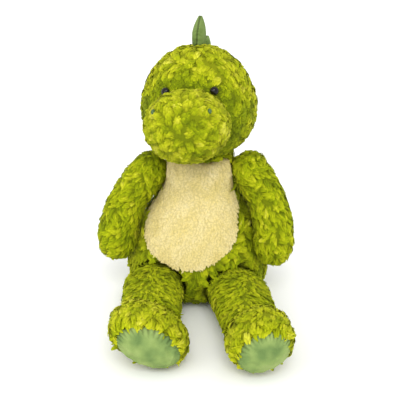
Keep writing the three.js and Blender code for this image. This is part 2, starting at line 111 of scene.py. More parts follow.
# The nostrils: ridges of thread, and how far they are sunk into the pile of the muzzle.
STITCH_VOXEL = 0.001
STITCH_PITCH = 0.0011
STITCH_RIDGE = 0.0003
STITCH_SINK = 0.0015

# The eyes: the edge of the flange under the dome, and the shank behind it.
FLANGE = 0.0018
SHANK_RADIUS = 0.0029

CAMERA = {"target": (0.008, -0.08, 0.27), "distance": 2.2, "azimuth": 7, "elevation": 20, "lens": 79.8}


# ---- Colour ----


def linear(code):
    """A linear colour from a hex code."""
    parts = [int(code[i : i + 2], 16) / 255 for i in (0, 2, 4)]
    return [p / 12.92 if p <= 0.04045 else ((p + 0.055) / 1.055) ** 2.4 for p in parts] + [1.0]


GREENS = ["6b7b02", "8e9c05", "a8b10d", "c0c220", "d5d448"]
CREAMS = ["d2be66", "dcc97a", "e4d28d", "eadaa0", "f1e4b6"]
SOLE_SAGES = ["58743f", "849a56", "a2b26e"]
PLATE_SAGES = ["4f6329", "6a8040", "7f9355"]


class Nodes:
    """A short way to build a node tree."""

    def __init__(self, name):
        self.material = bpy.data.materials.new(name)
        self.material.use_nodes = True
        self.tree = self.material.node_tree
        self.shader = self.tree.nodes["Principled BSDF"]

    def add(self, kind, inputs=None, **settings):
        node = self.tree.nodes.new(kind)
        for key, value in settings.items():
            setattr(node, key, value)
        for key, value in (inputs or {}).items():
            if isinstance(value, bpy.types.NodeSocket):
                self.tree.links.new(value, node.inputs[key])
            else:
                node.inputs[key].default_value = value
        return node

    def ramp(self, factor, stops):
        node = self.add("ShaderNodeValToRGB", {"Fac": factor})
        elements = node.color_ramp.elements
        while len(elements) < len(stops):
            elements.new(0.5)
        for element, (at, colour) in zip(elements, stops):
            element.position = at
            element.color = colour
        return node.outputs["Color"]

    def mix(self, factor, a, b, how="MIX"):
        node = self.add("ShaderNodeMix", data_type="RGBA", blend_type=how)
        for i, value in ((0, factor), (6, a), (7, b)):
            if isinstance(value, bpy.types.NodeSocket):
                self.tree.links.new(value, node.inputs[i])
            else:
                node.inputs[i].default_value = value
        return node.outputs[2]

    def set(self, **sockets):
        for key, value in sockets.items():
            name = key.replace("_", " ")
            if isinstance(value, bpy.types.NodeSocket):
                self.tree.links.new(value, self.shader.inputs[name])
            else:
                self.shader.inputs[name].default_value = value


def grey(value):
    return [value, value, value, 1.0]


def pile_material(name, shades, root):
    """Pile coloured by its own coordinates: U is a strand's shade, and V runs from its root to its tip."""
    nodes = Nodes(name)
    own = nodes.add("ShaderNodeUVMap", uv_map="OFBake").outputs[0]
    at = nodes.add("ShaderNodeSeparateXYZ", {"Vector": own})
    stops = [(i / (len(shades) - 1), linear(s)) for i, s in enumerate(shades)]
    shade = nodes.ramp(at.outputs["X"], stops)
    # Painted shade: each strand is darker towards its root, where the strands shade one another, with a slight
    # painted highlight at its tip.
    root_shade_stops = [(0.0, grey(root)), (0.42, grey(0.74)), (0.8, grey(1.0)), (1.0, grey(1.08))]
    depth = nodes.ramp(at.outputs["Y"], root_shade_stops)
    fibres = nodes.add("ShaderNodeCombineXYZ")
    for axis, often in (("X", 420.0), ("Y", 5.0)):
        scaled = nodes.add("ShaderNodeMath", {0: at.outputs[axis], 1: often}, operation="MULTIPLY")
        nodes.tree.links.new(scaled.outputs[0], fibres.inputs[axis])
    noise = nodes.add("ShaderNodeTexNoise", {"Vector": fibres.outputs[0], "Scale": 1.0, "Detail": 2.0})
    streaks = nodes.ramp(noise.outputs["Fac"], [(0.3, grey(0.86)), (0.7, grey(1.1))])
    colour = nodes.mix(1.0, nodes.mix(1.0, shade, depth, "MULTIPLY"), streaks, "MULTIPLY")
    nodes.set(Base_Color=colour, Roughness=0.92)
    nodes.shader.inputs["Specular IOR Level"].default_value = 0.15
    nodes.shader.inputs["Sheen Weight"].default_value = 0.2
    nodes.shader.inputs["Sheen Roughness"].default_value = 0.45
    nodes.shader.inputs["Sheen Tint"].default_value = linear(shades[-1])
    return nodes.material


def velboa_material(name, shades):
    """Short smooth pile: a fine nap with soft brushed patches, and painted shade in its seams and gathers."""
    nodes = Nodes(name)
    place = nodes.add("ShaderNodeTexCoord").outputs["Object"]
    nap = nodes.add("ShaderNodeTexNoise", {"Vector": place, "Scale": 900.0, "Detail": 2.0})
    brushed = nodes.add("ShaderNodeTexNoise", {"Vector": place, "Scale": 19.0, "Detail": 2.0})
    stops = [(at, linear(shade)) for at, shade in zip((0.34, 0.5, 0.68), shades)]
    patches = nodes.mix(0.25, nodes.ramp(brushed.outputs["Fac"], stops), linear(shades[1]))
    fine = nodes.ramp(nap.outputs["Fac"], [(0.25, grey(0.86)), (0.75, grey(1.1))])
    # Painted shade: darker in the grooves of seams and the creases of gathers.
    painted_seam_shade = nodes.add("ShaderNodeAttribute", attribute_name="seam").outputs["Fac"]
    seam = nodes.ramp(painted_seam_shade, [(0.2, grey(1.0)), (0.9, grey(0.42))])
    colour = nodes.mix(1.0, nodes.mix(1.0, patches, seam, "MULTIPLY"), fine, "MULTIPLY")
    bump = nodes.add("ShaderNodeBump", {"Height": nap.outputs["Fac"], "Strength": 0.25, "Distance": 0.0008})
    nodes.set(Base_Color=colour, Roughness=0.82, Normal=bump.outputs["Normal"])
    nodes.shader.inputs["Specular IOR Level"].default_value = 0.2
    nodes.shader.inputs["Sheen Weight"].default_value = 0.5
    nodes.shader.inputs["Sheen Roughness"].default_value = 0.35
    nodes.shader.inputs["Sheen Tint"].default_value = linear(shades[2])
    return nodes.material


def thread_material(name, code):
    """Embroidery thread: fine shiny streaks."""
    nodes = Nodes(name)
    place = nodes.add("ShaderNodeTexCoord").outputs["Object"]
    fine = nodes.add("ShaderNodeTexNoise", {"Vector": place, "Scale": 2200.0, "Detail": 2.0})
    colour = linear(code)
    dark = [c * 0.55 for c in colour[:3]] + [1.0]
    nodes.set(Base_Color=nodes.ramp(fine.outputs["Fac"], [(0.3, dark), (0.7, colour)]), Roughness=0.5)
    return nodes.material


def gloss_material(name):
    """Polished black plastic, with a painted brown reflection that grows lighter towards the edge of the dome.
    """
    nodes = Nodes(name)
    facing = nodes.add("ShaderNodeLayerWeight", {"Blend": 0.3}).outputs["Facing"]
    colour = nodes.ramp(facing, [(0.0, linear("0a0809")), (1.0, linear("1d1512"))])
    nodes.set(Base_Color=colour, Roughness=0.07)
    nodes.shader.inputs["Specular IOR Level"].default_value = 0.3
    return nodes.material


def nylon_material(name):
    """Natural nylon, a little cloudy."""
    nodes = Nodes(name)
    place = nodes.add("ShaderNodeTexCoord").outputs["Object"]
    cloud = nodes.add("ShaderNodeTexNoise", {"Vector": place, "Scale": 180.0})
    colour = nodes.ramp(cloud.outputs["Fac"], [(0.3, linear("d9d8d0")), (0.7, linear("ecebe6"))])
    nodes.set(Base_Color=colour, Roughness=0.45)
    return nodes.material


# ---- Surfaces ----


def unit(v):
    """Each vector at a length of 1."""
    return v / np.maximum(np.linalg.norm(v, axis=-1, keepdims=True), 1e-12)


def ripple(points, wavelength, seed, count=7):
    """Smooth noise of about -1 to 1 at each point."""
    rng = np.random.default_rng(seed)
    waves = unit(rng.normal(size=(count, 3))) * rng.uniform(0.6, 1.5, (count, 1)) * 2 * math.pi / wavelength
    return np.sin(points @ waves.T + rng.uniform(0, 2 * math.pi, count)).sum(1) / math.sqrt(count)


def arrays_of(mesh):
    """A mesh's points and its triangles."""
    points = np.zeros(len(mesh.vertices) * 3, np.float32)
    mesh.vertices.foreach_get("co", points)
    mesh.calc_loop_triangles()
    triangles = np.zeros(len(mesh.loop_triangles) * 3, np.int32)
    mesh.loop_triangles.foreach_get("vertices", triangles)
    return points.reshape(-1, 3).astype(float), triangles.reshape(-1, 3)


class Surface:
    """A triangle surface with smooth normals."""

    def __init__(self, points, triangles):
        self.points = points
        self.triangles = triangles
        self.update()

    def update(self):
        a, b, c = (self.points[self.triangles[:, i]] for i in range(3))
        self.facing = np.cross(b - a, c - a)
        corners = self.triangles.T.ravel()
        total = [np.bincount(corners, np.tile(self.facing[:, k], 3), len(self.points)) for k in range(3)]
        self.normals = unit(np.stack(total, axis=1))

    def smooth(self, rounds):
        """Each round smooths, then spreads by a little more, so that the form keeps its size."""
        t = self.triangles
        pairs = np.unique(np.sort(np.vstack([t[:, [0, 1]], t[:, [1, 2]], t[:, [2, 0]]]), axis=1), axis=0)
        ends = np.concatenate([pairs[:, 0], pairs[:, 1]])
        others = np.concatenate([pairs[:, 1], pairs[:, 0]])
        count = np.maximum(np.bincount(ends, minlength=len(self.points)), 1)
        for step in (0.5, -0.52) * rounds:
            total = np.stack(
                [np.bincount(ends, self.points[others, k], len(self.points)) for k in range(3)], axis=1
            )
            self.points = self.points + step * (total / count[:, None] - self.points)
        self.update()

    def largest(self):
        """Drops every loose body but the largest."""
        label = np.arange(len(self.points))
        while True:
            low = label[self.triangles].min(1)
            new = label.copy()
            for i in range(3):
                np.minimum.at(new, self.triangles[:, i], low)
            new = new[new]
            if (new == label).all():
                break
            label = new
        best = np.bincount(label[self.triangles[:, 0]]).argmax()
        kept = label == best
        places = np.cumsum(kept) - 1
        self.triangles = places[self.triangles[label[self.triangles[:, 0]] == best]]
        self.points = self.points[kept]
        self.update()

    def part(self, kept):
        """The triangles whose corners are all kept."""
        whole = kept[self.triangles].all(1)
        return Surface(self.points.copy(), self.triangles[whole])

    def moved(self, out):
        """The same surface, moved out along its normals."""
        return Surface(self.points + self.normals * out, self.triangles)

    def scatter(self, apart, seed):
        """Points all over the surface, one in each cell of a grid, and their normals."""
        rng = np.random.default_rng(seed)
        area = np.linalg.norm(self.facing, axis=1) / 2
        count = int(area.sum() / apart**2 * 5)
        which = rng.choice(len(area), count, p=area / area.sum())
        u, v = rng.uniform(size=(2, count, 1))
        flip = u + v > 1
        u, v = np.where(flip, 1 - u, u), np.where(flip, 1 - v, v)
        weights = np.stack([1 - u - v, u, v], axis=1)
        corners = self.triangles[which]
        points = (self.points[corners] * weights).sum(1)
        normals = unit((self.normals[corners] * weights).sum(1))
        cells = np.floor(points / apart).astype(int)
        kept = np.sort(np.unique(cells, axis=0, return_index=True)[1])
        return points[kept], normals[kept]


def tufts_of(points, apart):
    """Some of the points, no two nearer than apart, as the middles of tufts; and each point's own tuft."""
    tree = KDTree(len(points))
    for i, p in enumerate(points.tolist()):
        tree.insert(p, i)
    tree.balance()
    near = np.zeros(len(points), bool)
    middles = []
    for i, p in enumerate(points.tolist()):
        if not near[i]:
            middles.append(i)
            for _, j, _ in tree.find_range(p, apart):
                near[j] = True
    few = KDTree(len(middles))
    for k, i in enumerate(middles):
        few.insert(points[i].tolist(), k)
    few.balance()
    own = np.array([few.find(p)[1] for p in points.tolist()])
    return np.array(middles), own


def object_of(name, mesh):
    made = bpy.data.objects.new(name, mesh)
    bpy.context.scene.collection.objects.link(made)
    return made


def evaluated(source):
    """The mesh of an object with its modifiers applied; the object is removed."""
    graph = bpy.context.evaluated_depsgraph_get()
    mesh = bpy.data.meshes.new_from_object(source.evaluated_get(graph), depsgraph=graph)
    bpy.data.objects.remove(source)
    return mesh


def remeshed(nodes, voxel):
    """The outside of some CAD nodes taken together, as one even mesh."""
    points, triangles, start = [], [], 0
    for node in nodes:
        p, t = arrays_of(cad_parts[node].data)
        points.append(p)
        triangles.append(t + start)
        start += len(p)
    mesh = bpy.data.meshes.new("raw")
    mesh.from_pydata(np.vstack(points).tolist(), [], np.vstack(triangles).tolist())
    raw = object_of("raw", mesh)
    remesh = raw.modifiers.new("Remesh", "REMESH")
    remesh.mode = "VOXEL"
    remesh.voxel_size = voxel
    surface = Surface(*arrays_of(evaluated(raw)))
    surface.largest()
    return surface


def inflate(surface, swell, held=None, shrink=0.0):
    """No point moves further than swell. held gives how firmly each point is held, from 0 to 1, and shrink how
    much the fabric tightens."""
    if swell == 0:
        return
    mesh = bpy.data.meshes.new("cloth")
    mesh.from_pydata(surface.points.tolist(), [], surface.triangles.tolist())
    cloth_object = object_of("cloth", mesh)
    cloth = cloth_object.modifiers.new("Cloth", "CLOTH")
    cloth.settings.use_pressure = True
    cloth.settings.uniform_pressure_force = PRESSURE
    cloth.settings.effector_weights.gravity = 0
    cloth.settings.shrink_min = shrink
    cloth.collision_settings.use_collision = False
    if held is not None:
        group = cloth_object.vertex_groups.new(name="held")
        for i in np.flatnonzero(held > 0.01):
            group.add([int(i)], float(held[i]), "REPLACE")
        cloth.settings.vertex_group_mass = "held"
    for at in range(1, FRAMES + 1):
        bpy.context.scene.frame_set(at)
    moved = arrays_of(evaluated(cloth_object))[0] - surface.points
    bpy.context.scene.frame_set(1)
    far = np.linalg.norm(moved, axis=1, keepdims=True)
    surface.points += moved * np.minimum(1, swell / np.maximum(far, 1e-9))
    surface.update()


def backing_of(*nodes, depth=PILE_DEPTH, swell=SWELL):
    """The backing fabric of some CAD nodes taken together: smoothed, moved in by a depth and filled."""
    surface = remeshed(nodes, BACKING_VOXEL)
    surface.smooth(BACKING_SMOOTHING)
    surface.points -= surface.normals * (depth + 0.5 * swell)
    surface.smooth(2)
    inflate(surface, swell)
    surface.smooth(1)
    return surface


# ---- Fur ----


def strands(roots, normals, along, style, longer, lift, tone, seed):
    """The points, faces, shade coordinates and surface normals of one strand on each root."""
    rng = np.random.default_rng(seed)
    count, rows, columns = len(roots), len(STRAND_ROWS), len(STRAND_COLUMNS)
    length = style["length"] * longer[:, None] * rng.uniform(0.8, 1.2, (count, 1))
    width = style["width"] * rng.uniform(0.8, 1.25, (count, 1)) / 2
    rise = np.radians(style["rise"] + lift[:, None] + rng.normal(0, 6, (count, 1)))
    curl = np.radians(style["curl"] + rng.normal(0, 10, (count, 1)))
    roll = np.radians(rng.normal(0, 20, (count, 1)))
    tilt = rise * (1 - STRAND_ROWS) + curl * STRAND_ROWS
    steps = np.diff(STRAND_ROWS)
    middle = (tilt[:, 1:] + tilt[:, :-1]) / 2
    zero = np.zeros((count, 1))
    forward = np.hstack([zero, np.cumsum(np.cos(middle) * steps, axis=1)]) * length
    upward = np.hstack([zero, np.cumsum(np.sin(middle) * steps, axis=1)]) * length
    side = np.cross(normals, along)
    standing = normals[:, None, :] * np.cos(tilt)[..., None] - along[:, None, :] * np.sin(tilt)[..., None]
    spread = side[:, None, :] * np.cos(roll)[..., None] + standing * np.sin(roll)[..., None]
    reached = along[:, None, :] * forward[..., None] + normals[:, None, :] * upward[..., None]
    line = roots[:, None, :] + reached
    reach = width * STRAND_WIDTHS
    across = reach[..., None] * STRAND_COLUMNS
    droop = -STRAND_CUP * reach[..., None] * STRAND_COLUMNS**2
    points = line[:, :, None, :] + spread[:, :, None, :] * across[..., None]
    points += standing[:, :, None, :] * droop[..., None]

    # Every strand has the same grid of points.
    grid = np.arange(rows * columns).reshape(rows, columns)
    face = np.stack([grid[:-1, :-1], grid[1:, :-1], grid[1:, 1:], grid[:-1, 1:]], axis=-1).reshape(-1, 4)
    faces = (np.arange(count)[:, None, None] * rows * columns + face).reshape(-1, 4)
    u = tone[:, None, None] + 0.04 * STRAND_COLUMNS + np.zeros((1, rows, 1))
    v = np.broadcast_to(STRAND_ROWS[None, :, None], u.shape)
    uv = np.stack([np.clip(u, 0.01, 0.99), v], axis=-1).reshape(-1, 2)
    return points.reshape(-1, 3), faces, uv[faces], np.repeat(normals, rows * columns, axis=0)


def along_surface(way, normals):
    """The part of each way that runs along the surface, as a direction."""
    return unit(way - (way * normals).sum(1, keepdims=True) * normals)


def combed(points, normals, flow, turn, seed):
    """The way each tuft lies: the flow along the surface, turned by smooth noise and a little at random."""
    swirl = np.stack([ripple(points, 0.045, seed + k) for k in range(3)], axis=1)
    loose = np.random.default_rng(seed).normal(0, 0.4, points.shape)
    return along_surface(unit(flow) + turn * (swirl + loose), normals)


def joined(name, parts, material, softness):
    """One object from parts. Each has points, faces of one size, shade coordinates, and the normals of the
    surface under it, and softness says how far it is lit by those."""
    points = np.vstack([p for p, _, _, _ in parts])
    points[:, 2] = np.maximum(points[:, 2], GROUND_GAP)
    start, loops, sizes, uvs = 0, [], [], []
    for p, faces, uv, _ in parts:
        loops.append((faces + start).ravel())
        sizes.append(np.full(len(faces), faces.shape[1]))
        uvs.append(uv.reshape(-1, 2))
        start += len(p)
    loops, sizes, uvs = np.concatenate(loops), np.concatenate(sizes), np.vstack(uvs)
    mesh = bpy.data.meshes.new(name)
    mesh.vertices.add(len(points))
    mesh.vertices.foreach_set("co", points.astype(np.float32).ravel())
    mesh.loops.add(len(loops))
    mesh.loops.foreach_set("vertex_index", loops.astype(np.int32))
    mesh.polygons.add(len(sizes))
    mesh.polygons.foreach_set("loop_start", (np.cumsum(sizes) - sizes).astype(np.int32))
    mesh.update(calc_edges=True)
    mesh.uv_layers.new(name="OFBake").data.foreach_set("uv", uvs.astype(np.float32).ravel())
    mesh.polygons.foreach_set("use_smooth", np.ones(len(sizes), bool))
    mesh.materials.append(material)
    lit = np.zeros(len(points) * 3, np.float32)
    mesh.vertex_normals.foreach_get("vector", lit)
    lit = lit.reshape(-1, 3)
    under = np.vstack([n for _, _, _, n in parts])
    mesh.normals_split_custom_set_from_vertices(unit(lit * (1 - softness) + under * softness).tolist())
    return object_of(name, mesh)


def fur(name, surface, style, flow, material, seed, tone=None, longer=None, keep=None):
    """A furry piece on its backing. flow gives the comb at points and normals, tone the painted light and
    shade, how much lighter than its style the pile is painted there, longer how many times as long, and keep
    where the piece is."""
    if keep is not None:
        surface = surface.part(keep(surface.points))
    roots, normals = surface.scatter(style["apart"], seed)
    middles, own = tufts_of(roots, style["tuft"])
    rng = np.random.default_rng(seed + 1)
    bases, upwards = roots[middles], normals[middles]
    way = combed(bases, upwards, flow(bases, upwards), style["turn"], seed)
    # The strands of a tuft lean towards the place where it comes down.
    tip = bases + way * style["length"] * 0.7
    lean = (tip[own] - roots) / style["length"]
    along = along_surface(way[own] + style["gather"] * lean, normals)
    off = np.linalg.norm(roots - bases[own], axis=1) / style["tuft"]
    lift = style["dome"] * (0.5 - off) + rng.normal(0, 7, len(middles))[own]
    # The shade changes slowly over the body, from tuft to tuft and from strand to strand; painted shade
    # darkens the edges of each tuft.
    base = style["tone"] + 0.09 * ripple(roots, 0.06, seed)
    if tone:
        base = base + tone(roots, normals)
    shades = rng.normal(0, 0.1, len(middles))[own] + rng.normal(0, 0.06, len(roots)) + 0.1 * (0.5 - off)
    tones = np.clip(base + style["spread"] * shades, 0.05, 0.95)
    lengths = np.clip(roots[:, 2] / PRESSED_BELOW, 0.35, 1)
    if longer:
        lengths = lengths * longer(roots, normals)
    sunk = roots - normals * 0.001
    # Painted shade: the backing is coloured darker than the pile on it, in the dark shade of the strands'
    # roots.
    under = np.full(len(surface.points), style["tone"] - 0.15)
    if tone:
        under = under + tone(surface.points, surface.normals)
    backing_uv = np.zeros((len(surface.triangles), 3, 2)) + np.array([[0, 0.2], [0.06, 0.2], [0, 0.26]])
    backing_uv[:, :, 0] += np.clip(under, 0.02, 0.9)[surface.triangles[:, 0]][:, None]
    backing = (surface.points, surface.triangles, backing_uv, surface.normals)
    parts = [backing, strands(sunk, normals, along, style, lengths, lift, tones, seed)]
    return joined(name, parts, material, style["soft"])


# ---- The smooth pieces ----


def skin_object(name, surface, material, seam=None, levels=1):
    """A smooth mesh from a surface, subdivided, with how much painted shade each point takes in seams and
    creases.
    """
    mesh = bpy.data.meshes.new(name)
    mesh.from_pydata(surface.points.tolist(), [], surface.triangles.tolist())
    if seam is not None:
        mesh.attributes.new("seam", "FLOAT", "POINT").data.foreach_set("value", seam.astype(np.float32))
    made = object_of(name, mesh)
    if levels:
        made.modifiers.new("Subdivision", "SUBSURF").levels = levels
        mesh = evaluated(made)
        mesh.name = name
        made = object_of(name, mesh)
    mesh.polygons.foreach_set("use_smooth", np.ones(len(mesh.polygons), bool))
    mesh.materials.clear()
    mesh.materials.append(material)
    return made


def axes_of(points):
    """The middle of some points, and their long, middle and thin directions."""
    centre = points.mean(0)
    _, _, axes = np.linalg.svd(points - centre, full_matrices=False)
    return centre, axes


def plate(node, material, body_middle, seed):
    """A stuffed back plate: two leaves of velboa sewn round their rim, with puckers along the seam.
    Its root goes down into the pile towards the middle of the body."""
    surface = remeshed([node], PLATE_VOXEL)
    surface.smooth(2)
    surface.points -= surface.normals * 0.5 * PLATE_SWELL
    inflate(surface, PLATE_SWELL)
    centre, axes = axes_of(surface.points)
    off = (surface.points - centre) @ axes.T
    thin = off[:, 2]
    outwards = unit(off[:, :2]) @ axes[:2]
    angle = np.arctan2(off[:, 1], off[:, 0])
    edge = np.abs(surface.normals @ axes[2]) < 0.8
    groove = np.exp(-((thin / SEAM_WIDTH) ** 2)) * edge
    pucker = np.exp(-((thin / PUCKER_REACH) ** 2)) * edge
    waves = np.sin(angle * PUCKERS + 3 * ripple(surface.points, 0.05, seed))
    surface.points -= outwards * (groove * SEAM_DEPTH)[:, None]
    surface.points += surface.normals * (pucker * waves * PUCKER_DEPTH)[:, None]
    inwards = unit(body_middle - centre)
    height = -(surface.points - centre) @ inwards
    low = np.clip(1 - (height - height.min()) / np.ptp(height) / ROOT_SHARE, 0, 1)
    surface.points += inwards * (low * ROOT_DEPTH)[:, None]
    surface.update()
    # The groove of the seam takes painted shade.
    return skin_object(f"{node}_plush", surface, material, groove)


def sole(node, material, seed):
    """A velboa sole: held at its rim and filled, with gathers where it is eased into the foot."""
    surface = remeshed([node], SOLE_VOXEL)
    surface.smooth(2)
    centre, axes = axes_of(surface.points)
    off = (surface.points - centre) @ axes.T
    size = np.abs(off).max(0)
    angle = np.arctan2(off[:, 1] / size[1], off[:, 0] / size[0])
    reach = np.hypot(off[:, 0] / size[0], off[:, 1] / size[1])
    rim = np.clip((reach - 0.8) / 0.2, 0, 1)
    inflate(surface, SOLE_SWELL, held=rim, shrink=-SOLE_SLACK)
    gather = np.clip((reach - 0.5) / 0.5, 0, 1) ** 1.6
    upper = 0.45 + 0.55 * np.clip((surface.points[:, 2] - centre[2]) / size[1] + 0.3, 0, 1)
    bunch = 0.6 + 0.4 * ripple(surface.points, 0.06, seed)
    waves = np.sin(angle * GATHERS + 2.2 * ripple(surface.points, 0.12, seed + 1))
    dimples = ripple(surface.points, 0.07, seed + 2) * (1 - gather)
    surface.points += surface.normals * (waves * bunch * gather * upper * GATHER_DEPTH)[:, None]
    surface.points += surface.normals * (dimples * DIMPLE_DEPTH)[:, None]
    out = axes[2] * -np.sign(axes[2][1])
    surface.points -= out * (RIM_SINK * np.minimum(reach, 1)[:, None] ** 2)
    surface.update()
    # Painted shade in the creases of the gathers and round the rim, where the sole is sunk into the pile of
    # the foot.
    painted_crease_shade = np.clip(0.3 - waves, 0, 1) * gather * upper
    return skin_object(f"{node}_velboa", surface, material, np.maximum(painted_crease_shade, 0.6 * rim**3))


def turned(name, profile, at, along, material, around=48):
    """A form turned about a direction from a point: profile gives radius and height from base to tip."""
    along = unit(np.array(along))
    side = unit(np.cross(along, [0, 0, 1.0]))
    up = np.cross(side, along)
    turn = np.linspace(0, 2 * math.pi, around, endpoint=False)
    ring = np.cos(turn)[:, None] * side + np.sin(turn)[:, None] * up
    points = [at + along * profile[0][1]]
    for radius, height in profile[1:-1]:
        points.extend(at + along * height + ring * radius)
    points.append(at + along * profile[-1][1])
    rings = len(profile) - 2
    faces = [(0, 1 + (i + 1) % around, 1 + i) for i in range(around)]
    for row in range(rings - 1):
        low = 1 + row * around
        for i in range(around):
            j = (i + 1) % around
            faces.append((low + i, low + j, low + around + j, low + around + i))
    last, top = 1 + (rings - 1) * around, 1 + rings * around
    faces += [(last + i, last + (i + 1) % around, top) for i in range(around)]
    mesh = bpy.data.meshes.new(name)
    mesh.from_pydata([tuple(p) for p in points], [], faces)
    mesh.polygons.foreach_set("use_smooth", np.ones(len(mesh.polygons), bool))
    mesh.materials.append(material)
    return object_of(name, mesh)


def eye(node, material):
    """A polished dome on a thin flange and its shank, on the CAD eye's own axis."""
    points, _ = arrays_of(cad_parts[node].data)
    away = np.linalg.norm(points - HEAD_MIDDLE, axis=1)
    tip = points[away.argmax()]
    along = unit(tip - points.mean(0))
    heights = (points - tip) @ along
    radii = np.linalg.norm(points - tip - heights[:, None] * along, axis=1)
    length, dome = -heights.min(), -heights[radii > radii.max() * 0.99].max()
    radius = radii.max() * 0.995
    profile = [(0, -length), (SHANK_RADIUS, -length), (SHANK_RADIUS, -dome - FLANGE)]
    profile += [(radius * 0.975, -dome - FLANGE), (radius, -dome - FLANGE * 0.6), (radius, -dome - 0.0002)]
    for a in np.linspace(0, math.pi / 2, 15, endpoint=False)[1:]:
        profile.append((radius * math.cos(a), dome * (math.sin(a) - 1)))
    profile.append((0, 0))
    return turned(f"{node}_dome", profile, tip, along, material)


def stitched(node, material):
    """A pad of satin stitches: close ridges of thread side by side, sunk into the pile of the muzzle."""
    surface = remeshed([node], STITCH_VOXEL)
    surface.smooth(2)
    centre, axes = axes_of(surface.points)
    across = (surface.points - centre) @ axes[0]
    ridges = STITCH_RIDGE * np.sin(across / STITCH_PITCH * 2 * math.pi)
    surface.points += surface.normals * ridges[:, None]
    surface.points += unit(MUZZLE_MIDDLE - centre) * STITCH_SINK
    surface.update()
    return skin_object(f"{node}_stitches", surface, material, levels=0)


# ---- The scene ----

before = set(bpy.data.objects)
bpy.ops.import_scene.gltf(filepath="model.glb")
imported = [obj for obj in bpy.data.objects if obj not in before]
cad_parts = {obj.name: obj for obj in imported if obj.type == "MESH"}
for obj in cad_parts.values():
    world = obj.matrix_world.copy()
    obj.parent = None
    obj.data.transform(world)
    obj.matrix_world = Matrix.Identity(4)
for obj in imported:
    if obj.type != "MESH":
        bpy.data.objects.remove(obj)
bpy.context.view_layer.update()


def middle_and_half(node):
    """The middle of a node's box, and half its size."""
    low, high = (np.array(corner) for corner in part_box(node))
    return (low + high) / 2, (high - low) / 2


def nearer_to(node, other):
    """Whether each point is nearer to a node than to another."""
    trees = []
    for each in (node, other):
        points, triangles = arrays_of(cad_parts[each].data)
        trees.append(BVHTree.FromPolygons(points.tolist(), triangles.tolist()))

    def test(points):
        near = [[tree.find_nearest(p)[3] for p in points.tolist()] for tree in trees]
        return np.array(near[0]) < np.array(near[1])

    return test


def place(made, body, slot, fill, *nodes):
    """A stuffed piece on its body, in the place of its CAD nodes."""
    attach(made, body)
    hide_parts(*nodes)


def place_hard(made, body, slot, *nodes):
    """A hard piece on its body, in the place of its CAD nodes."""
    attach(made, body)
    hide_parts(*nodes)


# The last number is how dark the painted shade is at the root of each strand.
GREEN_PILE = pile_material("curly_green", GREENS, 0.28)
CREAM_PILE = pile_material("cream_plush", CREAMS, 0.93)
SOLE_VELBOA = velboa_material("sole_velboa", SOLE_SAGES)
PLATE_VELBOA = velboa_material("plate_velboa", PLATE_SAGES)
THREAD = thread_material("thread", "4b6b34")
EYE_BLACK = gloss_material("eye_black")
NYLON = nylon_material("washer_nylon")

HEAD_MIDDLE, HEAD_HALF = middle_and_half("head_skin")
MUZZLE_MIDDLE, MUZZLE_HALF = middle_and_half("muzzle_skin")


def hanging(sideways):
    """Pile that hangs down, and lies a little sideways away from the middle plane."""

    def flow(points, normals):
        way = np.zeros_like(points)
        way[:, 0] = sideways * np.tanh(points[:, 0] / 0.04)
        way[:, 2] = -1
        return way

    return flow


def round_muzzle(points):
    """How far a point is from the muzzle's middle line, seen from in front, with 1 at its outline."""
    off = (points - MUZZLE_MIDDLE)[:, [0, 2]] / MUZZLE_HALF[[0, 2]]
    return np.linalg.norm(off, axis=1)


def muzzle_fold(points):
    """1 on the head where the muzzle is sewn on, falling to 0 away from it."""
    front = np.clip((HEAD_MIDDLE[1] - points[:, 1]) / 0.05, 0, 1)
    return np.exp(-((np.maximum(round_muzzle(points) - 1.08, 0) / 0.2) ** 2)) * front


def head_painted_shading(points, normals):
    """Painted light and shade: lighter at the crown, where the light falls from above, and painted shade in
    the fold where the muzzle is sewn on.
    """
    high = (points[:, 2] - HEAD_MIDDLE[2]) / HEAD_HALF[2]
    return 0.1 * high - 0.4 * muzzle_fold(points)


def head_length(points, normals):
    """Shorter in the fold round the muzzle, and round the eyes."""
    longer = 1 - 0.4 * muzzle_fold(points)
    for word in ("left", "right"):
        near = np.linalg.norm(points - middle_and_half(f"eye_{word}")[0], axis=1)
        longer *= 1 - 0.65 * np.exp(-((near / 0.021) ** 4))
    return longer


def outwards_from_nose(points, normals):
    """Brushed away from the tip of the nose, and hanging a little."""
    nose = MUZZLE_MIDDLE - np.array([0, MUZZLE_HALF[1], 0])
    return unit(points - nose) * np.array([1, 0.6, 1]) + np.array([0, 0, -0.35])


def muzzle_painted_rim_light(points, normals):
    """Painted highlight: lighter round the rim, where light grazes the brushed pile, than in front."""
    return 0.34 * np.minimum(round_muzzle(points), 1.1) ** 2 - 0.14


def muzzle_length(points, normals):
    """Shorter where it is turned in at the rim."""
    return 1 - 0.35 * np.clip((points[:, 1] - MUZZLE_MIDDLE[1]) / MUZZLE_HALF[1], 0, 1)


in_panel = nearer_to("belly_panel", "torso_skin")


def in_skin(points):
    return ~in_panel(points)


place(
    fur("head_fur", backing_of("head_skin", "head_fill"), CROWN, hanging(0.1), GREEN_PILE, 11,
        tone=head_painted_shading, longer=head_length),
    "head", "curly_green", 0.9, "head_skin", "head_fill",
)

snout = backing_of("muzzle_skin", "muzzle_fill", depth=PILE_DEPTH - 0.002)
snout.points[:, 1] += MUZZLE_SUNK * np.clip(snout.normals[:, 1] - 0.2, 0, 1)
snout.update()
place(
    fur("muzzle_fur", snout, SNOUT, outwards_from_nose, GREEN_PILE, 23,
        tone=muzzle_painted_rim_light, longer=muzzle_length),
    "head", "curly_green", 0.9, "muzzle_skin", "muzzle_fill",
)

